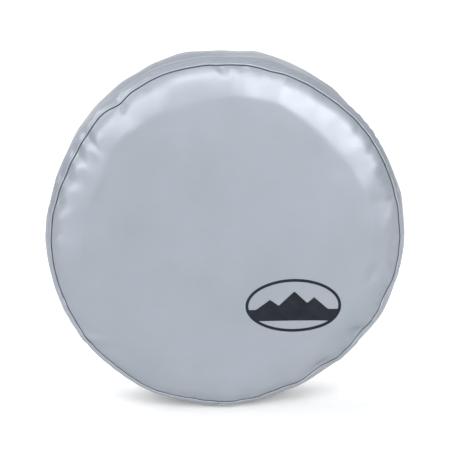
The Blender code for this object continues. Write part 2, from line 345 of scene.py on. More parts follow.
def warp(r, t, y):
    """From ideal ring coordinates to the wrinkled cover, as an array of points."""
    r, t, y = (np.asarray(v, float) for v in (r, t, y))
    r, t, y = np.broadcast_arrays(r, t, y)
    beyond = y - SEAM_Y
    front = 1 - smooth(beyond / 0.034)
    rim = smooth((r - 0.190) / 0.085)
    tread = smooth((beyond - 0.012) / 0.022) * smooth((r - 0.250) / 0.030)
    path, out_r, out_y = past_shoulder(r, y)
    fold, back = held_gathers(r, t, y, path)
    flat_edge = ripples(t, *FACE_EDGE) * np.exp(-(((r - 0.232) / 0.022) ** 2))
    dr = seam_wobble(t) * front * rim + flat_edge * (beyond < 0)
    outside = smooth((r - SEAM_R - PITCH - 0.0006) / 0.0010) * (y < REAR_SHOULDER_Y)
    dr = dr + outside * allowance_relief(t, beyond)
    dr = dr + tread * ((1 - 0.7 * back) * tread_ripples(t, y) + dents(t, TREAD_DENTS))
    dr = dr + fold * out_r
    dy = -face_relief(r, t) * front + fold * out_y
    inside_cord = smooth((CORD_R - r) / 0.010) * (y > 0.05)
    dr = dr + inside_cord * ripples(t, 0.0011, 52, 64, 53, 5)
    r = r + dr
    return np.stack([r * np.cos(t), y + dy, r * np.sin(t)], axis=-1)


# ---- ideal sections


def line(a, b, step):
    """Points from a to b, without b."""
    count = max(1, round(math.dist(a, b) / step))
    shares = [i / count for i in range(count)]
    return [(a[0] + (b[0] - a[0]) * s, a[1] + (b[1] - a[1]) * s) for s in shares]


def arc(centre, radii, start, end, steps):
    """Points on an ellipse in a section, without the last one."""
    angles = [math.radians(start + (end - start) * i / steps) for i in range(steps)]
    return [(centre[0] + radii[0] * math.cos(a), centre[1] + radii[1] * math.sin(a)) for a in angles]


def facing(section):
    """The direction of the sheet's outer face at each point of its section."""
    points = np.array(section)
    along = np.gradient(points, axis=0)
    along /= np.linalg.norm(along, axis=1)[:, None]
    return np.stack([along[:, 1], -along[:, 0]], axis=1)


def panel_section():
    """From the middle of the face, over the tyre's shoulder and back inside as the allowance.

    The cloth bends off the flat at the tyre's sidewall, runs straight, and bends more at the seam.
    """
    corner = 0.0024
    slopes = [0.0, 0.0, 0.20, 0.24, 0.26, 0.34, 0.60, 0.90]
    rolls = 40
    end_slope = math.atan(slopes[-1])
    centre = (SEAM_R - corner, SEAM_Y)
    turn = arc(centre, (corner, corner), math.degrees(end_slope) - 90.0, 0.0, 8)
    end_r, end_y = turn[0]
    places = np.linspace(FLAT_R, end_r, rolls + 1)
    slope = np.interp(np.linspace(0, 1, rolls + 1), np.linspace(0, 1, len(slopes)), slopes)
    kernel = np.array([1.0, 2.0, 3.0, 2.0, 1.0]) / 9.0
    slope = np.convolve(np.pad(slope, 2, mode="edge"), kernel, mode="valid")
    drop = np.r_[0, np.cumsum((slope[1:] + slope[:-1]) / 2 * np.diff(places))]
    drop *= (end_y - FACE_Y) / drop[-1]
    roll = [(float(r), float(FACE_Y + d)) for r, d in zip(places[:-1], drop[:-1])]
    raw_edge = (SEAM_R, SEAM_Y + ALLOWANCE)
    allowance = line((SEAM_R, SEAM_Y), raw_edge, 0.0025)
    return roll, turn + allowance + [raw_edge]


def band_outer(y):
    """The band's radius from the front seam to the tread."""
    front_r = SEAM_R + PITCH + 2 * FOLD
    share = np.clip((y - SEAM_Y) / FRONT_SHOULDER, 0, 1)
    return float(front_r + (BAND_R - front_r) * (1 - (1 - share) ** 2))


def tread_rows():
    """From the fold at the seam to the rear shoulder, with close rows at the seam."""
    close_rows, close_step, step = 0.016, 0.0010, 0.0024
    points = []
    y = SEAM_Y
    while y < REAR_SHOULDER_Y:
        points.append((band_outer(y), y))
        y += close_step if y < SEAM_Y + close_rows else step
    return points


def lip_rows():
    """Behind the tyre, from the shoulder to the mouth's edge."""
    lip_flat = LIP_EDGE_R + 0.011
    steps = 18
    points = []
    for i in range(steps):
        share = i / steps
        r = LIP_OUTER_R + share * (lip_flat - LIP_OUTER_R)
        points.append((r, LIP_Y + (HEM_Y - LIP_Y) * float(smooth(share))))
    return points + line((lip_flat, HEM_Y), (LIP_EDGE_R, HEM_Y), 0.0018) + [(LIP_EDGE_R, HEM_Y)]


def band_section():
    """The side band: allowance, fold at the seam, tread, rear shoulder and lip, to the hem.

    Returns its points and the number of the first one past the fold.
    """
    allowance_r = SEAM_R + PITCH
    points = line((allowance_r, SEAM_Y + ALLOWANCE), (allowance_r, SEAM_Y), 0.0025)
    points += arc((allowance_r + FOLD, SEAM_Y), (FOLD, FOLD), 180.0, 360.0, 6)
    first = len(points)
    points += tread_rows()
    points += arc((LIP_OUTER_R, REAR_SHOULDER_Y), (SHOULDER_R, SHOULDER_Y), 0.0, 90.0, 34)
    return points + lip_rows(), first


# ---- meshes


def link(name, data):
    obj = bpy.data.objects.new(name, data)
    bpy.context.scene.collection.objects.link(obj)
    return obj


def new_object(name, points, faces, materials, material_index=None, uv=None):
    mesh = bpy.data.meshes.new(name)
    mesh.from_pydata([tuple(p) for p in points], [], faces)
    for made in materials:
        mesh.materials.append(made)
    if material_index is not None:
        mesh.polygons.foreach_set("material_index", np.asarray(material_index, np.int32))
    if uv is not None:
        layer = mesh.uv_layers.new(name="cloth")
        loops = np.zeros(len(mesh.loops), np.int32)
        mesh.loops.foreach_get("vertex_index", loops)
        layer.data.foreach_set("uv", np.asarray(uv, np.float32)[loops].ravel())
    mesh.validate()
    mesh.shade_smooth()
    return link(name, mesh)


def paint_groove_shade(obj, ideal):
    """Painted shade in the bottom of the front seam's groove, as a share at each point of the mesh.
    """
    groove_r = SEAM_R + PITCH / 2
    groove_y = SEAM_Y - 0.0006
    across = (ideal[:, 0] - groove_r) / PAINTED_GROOVE_SHADE[0]
    along = (ideal[:, 1] - groove_y) / PAINTED_GROOVE_SHADE[1]
    layer = obj.data.attributes.new("crease", "FLOAT", "POINT")
    layer.data.foreach_set("value", np.exp(-(np.hypot(across, along) ** 4)).astype(np.float32))


def tidy(obj):
    """Deletes points that no face uses and turns the faces outwards."""
    bm = bmesh.new()
    bm.from_mesh(obj.data)
    loose = [v for v in bm.verts if not v.link_faces]
    bmesh.ops.delete(bm, geom=loose, context="VERTS")
    bmesh.ops.recalc_face_normals(bm, faces=bm.faces)
    bm.to_mesh(obj.data)
    bm.free()
    obj.data.shade_smooth()
    return obj


def running_length(section):
    """The distance along a section at each of its points."""
    return np.r_[0, np.cumsum(np.linalg.norm(np.diff(section, axis=0), axis=1))]


def sheet_sides(section, turns, thickness, raised):
    """Ring coordinates of a sheet's two surfaces, in columns and rows."""
    sec = np.array(section)
    face = facing(section)
    sides = []
    for side in (1.0, -1.0):
        off = raised + side * thickness / 2
        r = sec[None, :, 0] + off * face[None, :, 0]
        y = sec[None, :, 1] + off * face[None, :, 1]
        t = np.broadcast_to(np.asarray(turns)[:, None], r.shape)
        sides.append((r, t, y))
    return sides


def sheet_faces(cells, columns, rows):
    """Both surfaces of each cell and the sheet's cut edges, as faces and their materials."""
    count = rows * columns
    faces, slots = [], []
    uses = {}
    for i, j in cells:
        a, b = i * rows + j, ((i + 1) % columns) * rows + j
        faces.append((a, b, b + 1, a + 1))
        faces.append((a + count, a + 1 + count, b + 1 + count, b + count))
        slots += [0, 1]
        for edge in ((a, b), (b, b + 1), (b + 1, a + 1), (a + 1, a)):
            key = (min(edge), max(edge))
            uses[key] = None if key in uses else edge
    cut = [edge for edge in uses.values() if edge is not None]
    faces += [(b, a, a + count, b + count) for a, b in cut]
    slots += [1] * len(cut)
    return faces, slots


def strip(name, section, turns, thickness, materials, kept=None, lift=None, closed=False):
    """A closed body: a sheet that follows a section (rows) at each angle of turns (columns).

    kept(column, row) says which cells exist, and lift(columns, rows) moves points along the face's
    direction. The outer surface has the first material, the inner one and the edges the second.
    """
    rows, columns = len(section), len(turns)
    raised = np.zeros((columns, rows)) if lift is None else lift(columns, rows)
    sides = sheet_sides(section, turns, thickness, raised)
    points = np.concatenate([warp(r, t, y).reshape(-1, 3) for r, t, y in sides])
    spans = columns if closed else columns - 1
    cells = [(i, j) for i in range(spans) for j in range(rows - 1) if kept is None or kept(i, j)]
    faces, slots = sheet_faces(cells, columns, rows)
    u = np.broadcast_to(np.asarray(turns)[:, None] * BAND_R, (columns, rows))
    v = np.broadcast_to(running_length(section)[None, :], (columns, rows))
    uv = np.tile(np.stack([u, v], -1).reshape(-1, 2), (2, 1))
    obj = new_object(name, points, faces, materials, slots, uv)
    ideal = np.concatenate([np.stack([r, y], -1).reshape(-1, 2) for r, _, y in sides])
    paint_groove_shade(obj, ideal)
    return tidy(obj)


def faces_between(a, b, n, m):
    """Faces from a ring of n points to the next one out, of m: as many or twice as many."""
    made = []
    for i in range(n):
        i2 = (i + 1) % n
        if n == m:
            made.append((a + i, b + i, b + i2, a + i2))
        else:
            mid, end = 2 * i + 1, (2 * i + 2) % m
            made.append((a + i, b + 2 * i, b + mid))
            made.append((a + i, b + mid, a + i2))
            made.append((a + i2, b + mid, b + end))
    return made


def disc(name, section, counts, thickness, materials):
    """A closed body: a round sheet turned from a section, with fewer segments near its middle."""
    points, faces, slots, uv, ideal = [], [], [], [], []
    rims = []
    for side in (1.0, -1.0):
        starts = []
        for (r, y), out, n in zip(section, facing(section), counts):
            starts.append(len(points))
            t = np.arange(n) * 2 * np.pi / n + BOTTOM
            at = (r + side * out[0] * thickness / 2, y + side * out[1] * thickness / 2)
            points.extend(warp(at[0], t, at[1]))
            uv.extend(np.stack([r * np.cos(t), r * np.sin(t)], -1))
            ideal.extend([at] * n)
        middle = len(points)
        points.append(warp(0.0, 0.0, FACE_Y - side * thickness / 2))
        uv.append((0.0, 0.0))
        ideal.append((0.0, FACE_Y))
        n = counts[0]
        new = [(middle, starts[0] + i, starts[0] + (i + 1) % n) for i in range(n)]
        for a, b, n, m in zip(starts, starts[1:], counts, counts[1:]):
            new += faces_between(a, b, n, m)
        faces += new
        slots += [0 if side > 0 else 1] * len(new)
        rims.append(starts[-1])
    n = counts[-1]
    a, b = rims
    faces += [(a + i, a + (i + 1) % n, b + (i + 1) % n, b + i) for i in range(n)]
    slots += [1] * n
    obj = new_object(name, points, faces, materials, slots, uv)
    paint_groove_shade(obj, np.array(ideal))
    return tidy(obj)


def stitch_shape(length, rings, sides):
    """One loop of thread: steps along it, and its points' steps off the cloth and sideways."""
    rise, sunk = 0.00022, 0.55
    taper, thinnest = 0.93, 0.02
    u = np.linspace(-1, 1, rings)
    arch = rise * (1 - u**4) - sunk * rise
    girth = THREAD * np.sqrt(np.clip(1 - taper * np.abs(u) ** 5, thinnest, 1))
    turn = np.arange(sides) * 2 * np.pi / sides
    up = arch[:, None] + girth[:, None] * np.cos(turn)[None, :]
    across = girth[:, None] * np.sin(turn)[None, :]
    return u * length / 2, up, across


def stitch_faces(count, rings, sides):
    faces = []
    per = rings * sides
    for base in range(0, count * per, per):
        for k in range(rings - 1):
            a, b = base + k * sides, base + (k + 1) * sides
            for i in range(sides):
                i2 = (i + 1) % sides
                faces.append((a + i, a + i2, b + i2, b + i))
        faces.append(tuple(base + i for i in reversed(range(sides))))
        faces.append(tuple(base + (rings - 1) * sides + i for i in range(sides)))
    return faces


def stitches(name, spots, length, material_):
    """Short loops of thread. spots has, per stitch, ring coordinates, run direction and outward
    direction, each as (r, t, y) parts in metres."""
    rings, sides = 7, 6
    at, run, out = (np.array([s[k] for s in spots]) for k in range(3))
    side = np.cross(run, out)
    along, up, across = stitch_shape(length, rings, sides)
    move = (
        run[:, None, None, :] * along[None, :, None, None]
        + out[:, None, None, :] * up[None, :, :, None]
        + side[:, None, None, :] * across[None, :, :, None]
    )
    r = at[:, 0, None, None] + move[..., 0]
    t = at[:, 1, None, None] + move[..., 1] / at[:, 0, None, None]
    y = at[:, 2, None, None] + move[..., 2]
    points = warp(r, t, y).reshape(-1, 3)
    faces = stitch_faces(len(spots), rings, sides)
    return tidy(new_object(name, points, faces, [material_]))


def ring_stitches(name, r, y, out, pitch, material_):
    """A round of stitches at one place of the section, out being the direction off the cloth."""
    count = round(2 * np.pi * r / pitch)
    spots = []
    for i in range(count):
        t = BOTTOM + 2 * np.pi * (i + 0.5) / count
        spots.append(((r, t, y), (0.0, 1.0, 0.0), (out[0], 0.0, out[1])))
    return stitches(name, spots, pitch * STITCH_SHARE, material_)


def lap_stitches(name, section, t, off, first, last, material_):
    """A row of stitches along the section, off the cloth's middle by off."""
    sec = np.array(section)[first:last]
    out = facing(section)[first:last]
    lengths = running_length(sec)
    sign = 1.0 if off > 0 else -1.0
    spots = []
    for i in range(int(lengths[-1] // BODY_STITCH)):
        s = (i + 0.5) * BODY_STITCH
        p = [np.interp(s, lengths, sec[:, k]) for k in (0, 1)]
        n = np.array([np.interp(s, lengths, out[:, k]) for k in (0, 1)])
        n = n / np.linalg.norm(n)
        at = (p[0] + off * n[0], t, p[1] + off * n[1])
        spots.append((at, (-n[1], 0.0, n[0]), (sign * n[0], 0.0, sign * n[1])))
    return stitches(name, spots, BODY_STITCH * STITCH_SHARE, material_)


# ---- materials


class Nodes:
    """Adds and links shader nodes."""

    def __init__(self, name):
        self.material = bpy.data.materials.new(name)
        self.material.use_nodes = True
        self.tree = self.material.node_tree
        self.shader = self.tree.nodes["Principled BSDF"]

    def give(self, socket, value):
        if isinstance(value, bpy.types.NodeSocket):
            self.tree.links.new(value, socket)
        else:
            socket.default_value = value

    def add(self, kind, inputs=None, **settings):
        node = self.tree.nodes.new("ShaderNode" + kind)
        for key, value in settings.items():
            setattr(node, key, value)
        for key, value in (inputs or {}).items():
            self.give(node.inputs[key], value)
        return node

    def set(self, **values):
        for key, value in values.items():
            self.give(self.shader.inputs[key.replace("_", " ")], value)

    def place(self):
        return self.add("TexCoord").outputs["Object"]

    def cloth(self):
        return self.add("UVMap", uv_map="cloth").outputs["UV"]

    def noise(self, place, scale, detail, **more):
        inputs = {"Vector": place, "Scale": scale, "Detail": detail, **more}
        return self.add("TexNoise", inputs).outputs

    def ribs(self, place, scale, distortion, direction, **more):
        inputs = {"Vector": place, "Scale": scale, "Distortion": distortion, **more}
        return self.add("TexWave", inputs, bands_direction=direction).outputs["Color"]

    def cells(self, place, scale):
        inputs = {"Vector": place, "Scale": scale}
        return self.add("TexVoronoi", inputs, feature="DISTANCE_TO_EDGE").outputs["Distance"]

    def mix(self, share, first, second, **settings):
        inputs = {"Fac": share, "Color1": first, "Color2": second}
        return self.add("MixRGB", inputs, **settings).outputs["Color"]

    def ramp(self, factor, stops):
        node = self.add("ValToRGB", {"Fac": factor})
        ramp = node.color_ramp
        while len(ramp.elements) < len(stops):
            ramp.elements.new(0.5)
        for element, (place, colour) in zip(ramp.elements, stops):
            element.position = place
            element.color = (*colour, 1.0)
        return node.outputs["Color"]

    def rescale(self, value, low, high, start=0.0, end=1.0, **settings):
        """The value, moved from the range start to end into the range low to high."""
        inputs = {"Value": value, "From Min": start, "From Max": end, "To Min": low, "To Max": high}
        return self.add("MapRange", inputs, **settings).outputs["Result"]

    def bump(self, height, distance, strength=1.0, normal=None):
        inputs = {"Height": height, "Distance": distance, "Strength": strength}
        if normal is not None:
            inputs["Normal"] = normal
        return self.add("Bump", inputs).outputs["Normal"]


def grey(value):
    return (value, value, value)


# Grains of the leather pattern in a metre.
GRAIN = 720.0


def vinyl_colour(m, place, pebbles):
    """A cool silver that drifts a little, darker between the grains, with painted shade in the
    seam's groove.
    """
    cloud = m.noise(place, 9.0, 3.0, Roughness=0.55)["Fac"]
    dark, middle, light = (0.275, 0.307, 0.347), (0.293, 0.320, 0.363), (0.307, 0.331, 0.376)
    tint = m.ramp(cloud, [(0.30, dark), (0.50, middle), (0.72, light)])
    dirt = m.ramp(pebbles, [(0.0, grey(0.90)), (0.5, grey(1.0))])
    colour = m.mix(0.55, tint, dirt, blend_type="MULTIPLY")
    # Painted shade: the colour turns near black in the bottom of the front seam's groove.
    crease = m.add("Attribute", attribute_name="crease").outputs["Fac"]
    return m.mix(crease, colour, (0.004, 0.006, 0.008, 1.0))


def vinyl_material():
    """Silver-grey PVC leathercloth: pearly, softly glossy, with a fine grain."""
    m = Nodes("silver_vinyl_fine_grain")
    place = m.place()
    shifted = m.mix(0.0022, place, m.noise(place, 420.0, 2.0)["Color"])
    stops = [(0.0, grey(0.0)), (0.22, grey(0.85)), (0.6, grey(1.0))]
    pebbles = m.ramp(m.cells(shifted, GRAIN), stops)
    pores = m.noise(place, 1500.0, 2.0)["Fac"]
    soft = m.noise(place, 60.0, 4.0, Roughness=0.6)["Fac"]
    normal = m.bump(soft, 0.00025, 0.35)
    normal = m.bump(pebbles, 0.00005, 0.45, normal)
    normal = m.bump(pores, 0.00002, 0.35, normal)
    m.set(
        Base_Color=vinyl_colour(m, place, pebbles),
        Roughness=m.rescale(soft, 0.35, 0.43, 0.3, 0.7),
        Metallic=0.30,
        Specular_IOR_Level=0.38,
        Normal=normal,
        Coat_Weight=0.10,
        Coat_Roughness=0.32,
    )
    return m.material


def backing_material():
    """The vinyl's fabric backing: a pale knitted cloth."""
    m = Nodes("knitted_backing")
    uv = m.cloth()
    wales = m.ribs(uv, 140.0, 1.5, "X", Detail=1.0)
    rows = m.ribs(uv, 110.0, 2.0, "Y", Detail=1.0)
    knit = m.mix(0.5, wales, rows)
    fuzz = m.noise(uv, 60.0, 4.0)["Fac"]
    tone = m.ramp(knit, [(0.2, (0.34, 0.35, 0.36)), (0.8, (0.55, 0.56, 0.56))])
    shade = m.ramp(fuzz, [(0.3, grey(0.86)), (0.7, grey(1.0))])
    colour = m.mix(1.0, tone, shade, blend_type="MULTIPLY")
    normal = m.bump(knit, 0.00012, 0.7)
    m.set(Base_Color=colour, Roughness=0.92, Normal=normal, Sheen_Weight=0.25)
    return m.material


def tape_material():
    """A dark woven tape with a fine herringbone."""
    m = Nodes("woven_binding_tape")
    uv = m.cloth()
    weave = m.mix(0.5, m.ribs(uv, 260.0, 0.6, "DIAGONAL"), m.ribs(uv, 320.0, 0.4, "X"))
    tone = m.ramp(weave, [(0.2, (0.020, 0.022, 0.025)), (0.8, (0.085, 0.09, 0.10))])
    normal = m.bump(weave, 0.0001, 0.8)
    m.set(Base_Color=tone, Roughness=0.86, Normal=normal, Sheen_Weight=0.3)
    return m.material


def thread_material(name, dark, light):
    """Twisted polyester thread."""
    m = Nodes(name)
    twist = m.ribs(m.place(), 900.0, 1.0, "DIAGONAL")
    tone = m.ramp(twist, [(0.1, dark), (0.9, light)])
    normal = m.bump(twist, 0.00008, 0.6)
    m.set(Base_Color=tone, Roughness=0.6, Normal=normal, Sheen_Weight=0.2)
    return m.material


def elastic_material():
    """Braided shock cord."""
    m = Nodes("braided_elastic")
    braid = m.cells(m.place(), 900.0)
    tone = m.ramp(braid, [(0.0, (0.008, 0.008, 0.009)), (0.4, (0.05, 0.05, 0.055))])
    normal = m.bump(braid, 0.0002, 0.8)
    m.set(Base_Color=tone, Roughness=0.75, Normal=normal, Sheen_Weight=0.2)
    return m.material


def zinc_material():
    """Zinc-plated steel with a faint spangle."""
    m = Nodes("zinc_plated_sleeve")
    place = m.place()
    spangle = m.add("TexVoronoi", {"Vector": place, "Scale": 380.0}).outputs["Distance"]
    scratches = m.noise(place, 900.0, 3.0)["Fac"]
    tone = m.ramp(spangle, [(0.0, (0.52, 0.53, 0.53)), (0.7, (0.70, 0.70, 0.68))])
    rough = m.rescale(scratches, 0.22, 0.5)
    normal = m.bump(scratches, 0.00003, 0.5)
    m.set(Base_Color=tone, Roughness=rough, Metallic=1.0, Normal=normal)
    return m.material


def ink_material():
    """Screen-printed ink, slightly worn, that keeps the vinyl's grain."""
    m = Nodes("dark_printed_ink")
    place = m.place()
    wear = m.noise(place, 45.0, 5.0, Roughness=0.6)["Fac"]
    tone = m.ramp(wear, [(0.35, (0.006, 0.008, 0.013)), (0.70, (0.012, 0.015, 0.022))])
    rough = m.rescale(wear, 0.34, 0.52)
    normal = m.bump(m.cells(place, GRAIN), 0.00004, 0.5)
    m.set(Base_Color=tone, Roughness=rough, Normal=normal, Specular_IOR_Level=0.22)
    return m.material


# The paper's painted glow behind the cover, under its front and far in front, and the grey paper.
STAGE_GLOW = 0.38
NEAR_GLOW = 0.25
FAR_GLOW = 0.32
STAGE_GREY = (0.38, 0.385, 0.39)
# Half lengths of the painted shadow spot where the cover stands, along X and Y.
PAINTED_SHADOW_SPOT = (0.16, 0.055)


def stage_glow(m, place, y):
    """The paper's painted glow: dimmed into a painted shadow where the cover stands, more behind it
    and far in front.
    """

    def fade(value, start, end, low, high):
        return m.rescale(value, low, high, start, end, interpolation_type="SMOOTHSTEP")

    def add(a, b):
        return m.add("Math", {0: a, 1: b}, operation="ADD").outputs[0]

    scale = (1 / PAINTED_SHADOW_SPOT[0], 1 / PAINTED_SHADOW_SPOT[1], 0.0)
    spot = m.add("VectorMath", {0: place, 1: scale}, operation="MULTIPLY").outputs[0]
    far = m.add("VectorMath", {0: spot}, operation="LENGTH").outputs["Value"]
    near = fade(y, -0.31, -0.21, 0.0, NEAR_GLOW)
    behind = fade(y, -0.08, 0.13, 0.0, STAGE_GLOW)
    # Painted shadow: the glow is dimmed to 0.3 of itself where the cover stands.
    shade = {0: add(near, behind), 1: fade(far, 0.4, 1.5, 0.3, 1.0)}
    shaded = m.add("Math", shade, operation="MULTIPLY").outputs[0]
    return add(shaded, fade(y, -1.50, -2.80, 0.05, FAR_GLOW))


def stage_material():
    """White paper with a painted pool of light round and behind the cover, a painted shadow where it
    stands, and grey paper in front.
    """
    m = Nodes("white_paper_sweep")
    place = m.place()
    fibre = m.noise(place, 40.0, 3.0)["Fac"]
    white = m.ramp(fibre, [(0.3, grey(0.59)), (0.7, grey(0.61))])
    y = m.add("SeparateXYZ", {"Vector": place}).outputs["Y"]
    pool = m.rescale(y, 0.0, 1.0, -1.15, -0.40, interpolation_type="SMOOTHSTEP")
    m.set(
        Base_Color=m.mix(pool, (*STAGE_GREY, 1.0), white),
        Roughness=0.9,
        Specular_IOR_Level=0.1,
        Emission_Color=(1, 1, 1, 1),
        Emission_Strength=stage_glow(m, place, y),
    )
    return m.material


vinyl = vinyl_material()
backing = backing_material()
tape = tape_material()
thread = thread_material("grey_twisted_thread", (0.20, 0.22, 0.25), (0.42, 0.45, 0.50))
black_thread = thread_material("black_twisted_thread", (0.010, 0.010, 0.012), (0.05, 0.05, 0.055))


# ---- the cover's pieces


def face_rings():
    """Radii of the rings in the flat of the face, and how many segments each one has."""
    first, step, clear = 0.006, 0.0045, 0.002
    radii, counts = [], []
    r = first
    while r < FLAT_R - clear:
        halvings = sum(r < limit for limit in (0.150, 0.075, 0.038, 0.019, 0.010))
        radii.append(r)
        counts.append(FACE_STEPS // 2**halvings)
        r += step
    return radii, counts


def build_face():
    roll, rest = panel_section()
    radii, counts = face_rings()
    section = [(r, FACE_Y) for r in radii] + roll + rest
    counts += [FACE_STEPS] * (len(roll) + len(rest))
    obj = disc("front_panel_cloth", section, counts, VINYL, [vinyl, backing])
    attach(obj, "cover")
    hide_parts("front_panel")
    return obj


def build_band():
    """One strip from the front seam to the hem. Its end laps over its start at the bottom."""
    section, first = band_section()
    lap_steps = round(BAND_STEPS * LAP / (2 * np.pi))
    ramp_steps = lap_steps * 2
    columns = BAND_STEPS + lap_steps + 1
    tab_first = first + 4
    tab_last = len(section) - 9

    def kept(i, j):
        return i < BAND_STEPS or tab_first <= j < tab_last

    def lift(columns, rows):
        column, row = np.arange(columns), np.arange(rows)
        rise = smooth((column - BAND_STEPS + ramp_steps) / ramp_steps)
        ease = smooth((row - tab_first + 3) / 3) * smooth((tab_last + 3 - row) / 3)
        return PITCH * rise[:, None] * ease[None, :]

    turns = BOTTOM + np.arange(columns) * 2 * np.pi / BAND_STEPS
    turns[BAND_STEPS] -= GAP / BAND_R
    obj = strip("side_band_cloth", section, turns, VINYL, [vinyl, backing], kept, lift)
    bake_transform(obj)
    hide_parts("side_band", "rear_lip")
    return obj, section, tab_first, tab_last


def build_tape():
    """The folded tape over the front seam's raw edges."""
    inner = SEAM_R - VINYL / 2 - GAP - TAPE / 2
    outer = SEAM_R + PITCH + VINYL / 2 + GAP + TAPE / 2
    half = (outer - inner) / 2
    bend = SEAM_Y + ALLOWANCE + GAP + TAPE / 2
    leg = SEAM_Y + ALLOWANCE * 0.5
    points = line((inner, leg), (inner, bend), 0.0015)
    points += arc((inner + half, bend), (half, 0.0009), 180.0, 0.0, 10)
    points += line((outer, bend), (outer, leg), 0.0015) + [(outer, leg)]
    turns = BOTTOM + np.arange(TAPE_STEPS) * 2 * np.pi / TAPE_STEPS
    obj = strip("seam_binding_tape", points, turns, TAPE, [tape, tape], closed=True)
    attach(obj, "cover")
    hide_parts("seam_binding")


def build_hem():
    """The scrunched binding round the mouth, with a leg on each face of the lip."""
    half_r, half_y = 0.0105, 0.0060
    step = 0.0016
    mouth = math.degrees(math.asin(PITCH / half_y))
    leg_r = CORD_R + half_r * 0.97
    points = line((HEM_LEG_R, HEM_Y + PITCH), (leg_r, HEM_Y + PITCH), step)
    points += arc((CORD_R, HEM_Y), (half_r, half_y), mouth, 360.0 - mouth, 30)
    points += line((leg_r, HEM_Y - PITCH), (HEM_LEG_R, HEM_Y - PITCH), step)
    points += [(HEM_LEG_R, HEM_Y - PITCH)]
    turns = BOTTOM + np.arange(HEM_STEPS) * 2 * np.pi / HEM_STEPS
    obj = strip("hem_binding_cloth", points, turns, VINYL, [vinyl, backing], closed=True)
    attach(obj, "mouth_ring")
    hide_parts("hem_binding")


# The printed hills: place, half width and top, as shares of the oval, and their foot.
PEAKS = [(-0.52, 0.26, 0.42), (0.02, 0.60, 0.52), (0.46, 0.34, 0.40)]
FOOT = -0.16


def ridge_height(x):
    """The skyline of the hills: share of the half height at a share of the half width."""
    return max([FOOT] + [top - abs(x - at) / half * (top + 0.30) for at, top, half in PEAKS])


def oval(w, h, start, end, steps):
    angles = [math.radians(start + (end - start) * i / steps) for i in range(steps + 1)]
    return [(w * math.cos(a), h * math.sin(a)) for a in angles]


def emblem_loops(half_w, half_h):
    """The film's outline, and the two openings in it: the sky over the hills, and a bowed strip."""
    rim = 0.005
    in_w, in_h = half_w - rim, half_h - rim
    steps = 60
    level = math.degrees(math.asin(-FOOT))
    edge = math.cos(math.radians(level))
    places = [-edge + 2 * edge * i / steps for i in range(1, steps)]
    skyline = [(x * in_w, ridge_height(x) * in_h) for x in places]
    outline = oval(half_w, half_h, 0.0, 360.0, 120)[:-1]
    sky = oval(in_w, in_h, -level, 180.0 + level, steps) + skyline
    return [outline, sky, oval(in_w, in_h, 220.0, 320.0, 40)]


def flat_emblem(half_w, half_h):
    """The film lying flat, cut into small squares so that it can bend."""
    square, merge = 0.004, 1e-6
    curve = bpy.data.curves.new("emblem", "CURVE")
    curve.dimensions = "2D"
    curve.fill_mode = "FRONT"
    for points in emblem_loops(half_w, half_h):
        spline = curve.splines.new("POLY")
        spline.points.add(len(points) - 1)
        for spot, (x, z) in zip(spline.points, points):
            spot.co = (x, z, 0.0, 1.0)
        spline.use_cyclic_u = True
    flat = link("emblem_flat", curve)
    bpy.context.view_layer.update()
    bm = bmesh.new()
    bm.from_mesh(bpy.data.meshes.new_from_object(flat))
    bpy.data.objects.remove(flat)
    for axis, half in ((Vector((1, 0, 0)), half_w), (Vector((0, 1, 0)), half_h)):
        for i in range(1, int(2 * half / square)):
            everything = bm.verts[:] + bm.edges[:] + bm.faces[:]
            at = axis * (-half + i * square)
            bmesh.ops.bisect_plane(bm, geom=everything, plane_co=at, plane_no=axis, dist=merge)
    bmesh.ops.remove_doubles(bm, verts=bm.verts, dist=merge)
    return bm


def build_emblem():
    """A plain printed oval with hills, cut from a flat film and laid on the face."""
    low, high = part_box("emblem_print")
    cx, cz = (low.x + high.x) / 2, (low.z + high.z) / 2
    bm = flat_emblem((high.x - low.x) / 2, (high.z - low.z) / 2)
    bottom = FACE_Y - VINYL / 2 - 0.00004
    bm.verts.ensure_lookup_table()
    x = np.array([v.co.x for v in bm.verts]) + cx
    z = np.array([v.co.y for v in bm.verts]) + cz
    on_face = warp(np.hypot(x, z), np.arctan2(z, x), np.full_like(x, bottom))
    for v, p in zip(bm.verts, on_face):
        v.co = p
    made = bmesh.ops.extrude_face_region(bm, geom=bm.faces[:])
    for v in made["geom"]:
        if isinstance(v, bmesh.types.BMVert):
            v.co.y -= INK
    bmesh.ops.recalc_face_normals(bm, faces=bm.faces)
    final = bpy.data.meshes.new("emblem_ink")
    bm.to_mesh(final)
    bm.free()
    final.materials.append(ink_material())
    final.shade_smooth()
    final.set_sharp_from_angle(angle=math.radians(40))
    obj = link("emblem_ink_film", final)
    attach(obj, "cover")
    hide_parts("emblem_print")


def sewn(obj, body, *nodes):
    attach(obj, body)
    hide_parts(*nodes)


def build_seam_threads():
    """The stitches through the front seam and through its tape."""
    inner_face = SEAM_R - VINYL / 2
    outer_face = SEAM_R + PITCH + VINYL / 2
    lie = GAP + THREAD
    seam_y, tape_y = SEAM_Y + 0.0025, SEAM_Y + 0.0075
    for node, r, y, out in (
        ("front_seam_needle_thread", inner_face - lie, seam_y, -1),
        ("front_seam_bobbin_thread", outer_face + lie, seam_y, 1),
        ("binding_needle_thread", inner_face - GAP - TAPE - lie, tape_y, -1),
        ("binding_bobbin_thread", outer_face + GAP + TAPE + lie, tape_y, 1),
    ):
        finish = black_thread if node.startswith("binding") else thread
        name = node.replace("thread", "stitches")
        made = ring_stitches(name, r, y, (out, 0.0), BODY_STITCH, finish)
        sewn(made, "cover", node)


def build_hem_threads():
    stitch_r = (LIP_EDGE_R + HEM_LEG_R) / 2
    stitch_y = PITCH + VINYL / 2 + GAP + THREAD
    for node, out in (("hem_needle_thread", 1), ("hem_bobbin_thread", -1)):
        y = HEM_Y + out * stitch_y
        name = node.replace("thread", "stitches")
        made = ring_stitches(name, stitch_r, y, (0.0, out), HEM_STITCH, thread)
        sewn(made, "mouth_ring", node)


